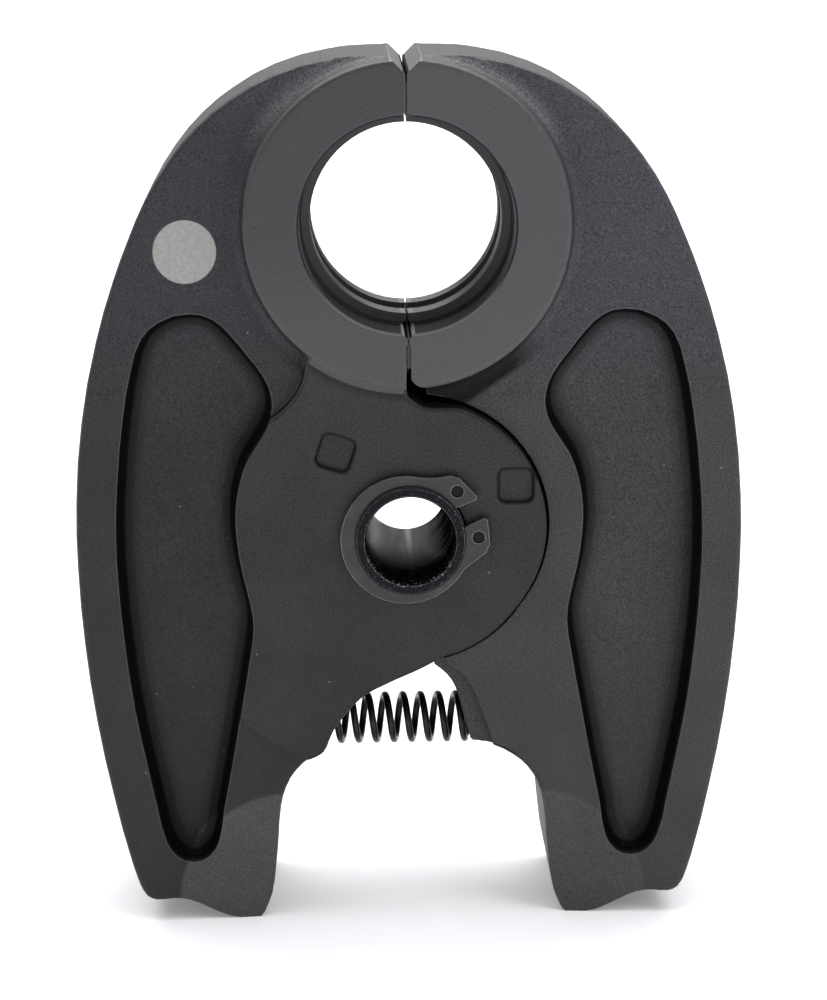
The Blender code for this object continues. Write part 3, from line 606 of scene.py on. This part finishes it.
def coil_spring():
    """The spring in round wire, on the same helix as its CAD solid."""
    per_turn = 28
    sides = 12
    coil = (spring_high[1] - spring_low[1]) / 2 - WIRE_RADIUS + COIL_GROWTH
    axis_z = (spring_low[2] + spring_high[2]) / 2
    start_x = spring_low[0] + WIRE_RADIUS
    end_x = spring_high[0] - WIRE_RADIUS
    slope = SPRING_PITCH / (2 * math.pi * coil)
    scale = 1 / math.sqrt(1 + slope * slope)
    count = int((end_x - start_x) / SPRING_PITCH * per_turn) + 1
    verts = []
    for i in range(count):
        x = start_x + (end_x - start_x) * i / (count - 1)
        angle = 2 * math.pi * (x - SPRING_CROWN_X) / SPRING_PITCH
        outward = (0.0, -math.sin(angle), math.cos(angle))
        across = (scale, slope * scale * math.cos(angle), slope * scale * math.sin(angle))
        for j in range(sides):
            turn = 2 * math.pi * j / sides
            out = coil + WIRE_RADIUS * math.cos(turn)
            side = WIRE_RADIUS * math.sin(turn)
            verts.append((x + across[0] * side,
                          outward[1] * out + across[1] * side,
                          axis_z + outward[2] * out + across[2] * side))
    faces = []
    for i in range(count - 1):
        for j in range(sides):
            k = (j + 1) % sides
            faces.append((i * sides + j, i * sides + k, (i + 1) * sides + k, (i + 1) * sides + j))
    faces.append(tuple(reversed(range(sides))))
    faces.append(tuple((count - 1) * sides + j for j in range(sides)))
    mesh = bpy.data.meshes.new("coil_spring")
    mesh.from_pydata(verts, [], faces)
    mesh.shade_smooth()
    piece = bpy.data.objects.new("coil_spring", mesh)
    bpy.context.scene.collection.objects.link(piece)
    mesh.materials.append(oiled_spring_wire())
    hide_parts("spring")
    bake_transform(piece)


def mating_lands(arm, way):
    """Narrow lands on the split of one press ring half. They close the gap between the halves.
    Each has its name, its lowest and highest millimetre from the ring axis, and its thickness."""
    for label, low, high, thick in (("foot", -22.8, -19.0, 0.38), ("lower", -19.0, -17.35, 0.14),
                                    ("upper", 17.35, 22.6, 0.14)):
        bpy.ops.mesh.primitive_cube_add(size=1.0)
        land = bpy.context.object
        land.name = arm + "_land_" + label
        land.dimensions = (thick * MM, LAND_DEPTH, (high - low) * MM)
        land.location = (way * (LAND_SEAM + thick / 2 * MM), 0.0, RING_Z + (low + high) / 2 * MM)
        bpy.ops.object.transform_apply(location=False, rotation=False, scale=True)
        # The arm's finish paints the lands' faces along the split near black, as painted shade
        land.data.materials.append(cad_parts[arm].data.materials[0])
        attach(land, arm)


def shade_lug_holes():
    """Painted shade: a dark disc in each of the two lug holes of each retaining ring, where the
    holes are in shade.
    """
    material, tree = new_material("lug_hole_shade")
    add_surface(tree, {"Base Color": colour("0B0C10"), "Roughness": 0.6,
                       "Specular IOR Level": 0.2})
    for label, way in (("front", 1.0), ("back", -1.0)):
        low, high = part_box(label + "_retaining_ring")
        for hole, angle in LUG_HOLE_ANGLES:
            place = (way * LUG_HOLE_REACH * math.cos(angle), (low[1] + high[1]) / 2,
                     PIVOT_Z + LUG_HOLE_REACH * math.sin(angle))
            bpy.ops.mesh.primitive_cylinder_add(vertices=24, radius=HOLE_SHADE_RADIUS, depth=HOLE_SHADE_DEPTH,
                                                location=place, rotation=(math.pi / 2, 0.0, 0.0))
            shade_disc = bpy.context.object
            shade_disc.name = label + "_ring_hole_shade_" + hole
            shade_disc.data.materials.append(material)
            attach(shade_disc, "pivot")


def lay_floor():
    """White floor that glows a little, as one lit from below does."""
    bpy.ops.mesh.primitive_plane_add(size=16.0, location=(0.0, 0.0, 0.0))
    floor = bpy.context.object
    floor.name = "floor"
    material, tree = new_material("white_sweep")
    add_surface(tree, {"Base Color": colour("FAFBFD"), "Roughness": 1.0,
                       "Specular IOR Level": 0.0, "Emission Color": colour("FFFFFF"),
                       "Emission Strength": 0.16})
    floor.data.materials.append(material)


def add_light(name, kind, place, aim, energy, **settings):
    """Light that faces a point."""
    lamp = bpy.data.lights.new(name, kind)
    lamp.energy = energy
    for setting, value in settings.items():
        setattr(lamp, setting, value)
    light = bpy.data.objects.new(name, lamp)
    bpy.context.scene.collection.objects.link(light)
    light.location = place
    light.rotation_euler = (Vector(aim) - Vector(place)).to_track_quat('-Z', 'Y').to_euler()


def light_the_studio():
    """White surroundings, a very wide light above and behind, which lights the whole floor evenly,
    and two weaker softboxes at the sides, of which the right one is the nearer and stronger."""
    world = bpy.data.worlds.new("white_studio")
    bpy.context.scene.world = world
    world.use_nodes = True
    tree = world.node_tree
    tree.nodes.clear()
    ray = add_node(tree, "ShaderNodeLightPath")
    seen = add_node(tree, "ShaderNodeBackground", {"Color": colour("FFFFFF"), "Strength": 1.0})
    lit = add_node(tree, "ShaderNodeBackground", {"Color": colour("FCFCFF"), "Strength": 0.46})
    both = add_node(tree, "ShaderNodeMixShader",
                    {0: ray.outputs["Is Camera Ray"], 1: lit.outputs[0], 2: seen.outputs[0]})
    add_node(tree, "ShaderNodeOutputWorld", {"Surface": both.outputs[0]})
    aim = (0.0, 0.0, PIVOT_Z)
    add_light("light_above", 'SUN', (0.0, 0.33, 1.1), aim, 3.5, angle=math.radians(75.0))
    add_light("light_left", 'AREA', (-0.9, -0.2, 0.5), aim, 0.8,
              shape='RECTANGLE', size=0.6, size_y=0.9)
    add_light("light_right", 'AREA', (0.42, -0.3, 0.4), aim, 0.8,
              shape='RECTANGLE', size=0.25, size_y=0.4)


def place_camera():
    lens = bpy.data.cameras.new("photo_camera")
    lens.sensor_fit = 'VERTICAL'
    lens.sensor_height = 36.0
    lens.lens = FOCAL_PX / PHOTO_HEIGHT_PX * lens.sensor_height
    lens.clip_start = 0.01
    lens.clip_end = 50.0
    camera = bpy.data.objects.new("photo_camera", lens)
    bpy.context.scene.collection.objects.link(camera)
    x, y, z = CAMERA_FROM_PIVOT
    look = Matrix.Rotation(-CAMERA_YAW, 4, 'Z')
    tilt = Matrix.Rotation(math.pi / 2 - CAMERA_PITCH, 4, 'X')
    roll = Matrix.Rotation(-CAMERA_ROLL, 4, 'Z')
    camera.matrix_world = Matrix.Translation((x, y, z + PIVOT_Z)) @ look @ tilt @ roll
    bpy.context.scene.camera = camera


place_camera()
light_the_studio()
lay_floor()
# The left forging came out darker than the right one
dress("left_arm", forged_steel(
    "blasted_forged_steel_left", way=1.0, coat=("282829", "2D2D2D"), cool_coat="343539",
    track_tone=("444444", "484848"), turned=("414142", "4A4A49"), wedge_shade=0.3, patched=True))
dress("right_arm", forged_steel(
    "blasted_forged_steel_right", way=-1.0, coat=("363636", "3A3A3A"), cool_coat="404046",
    track_tone=("404040", "444444"), turned=("4A4A4B", "4D4D4C"), wedge_shade=0.9, patched=False))
mating_lands("left_arm", -1.0)
mating_lands("right_arm", 1.0)
shade_lug_holes()
dress("pivot_bush", ground_bush_steel())
ring_steel = phosphated_spring_steel()
dress("front_retaining_ring", ring_steel)
dress("back_retaining_ring", ring_steel)
coil_spring()
bpy.context.scene.view_settings.view_transform = 'Standard'
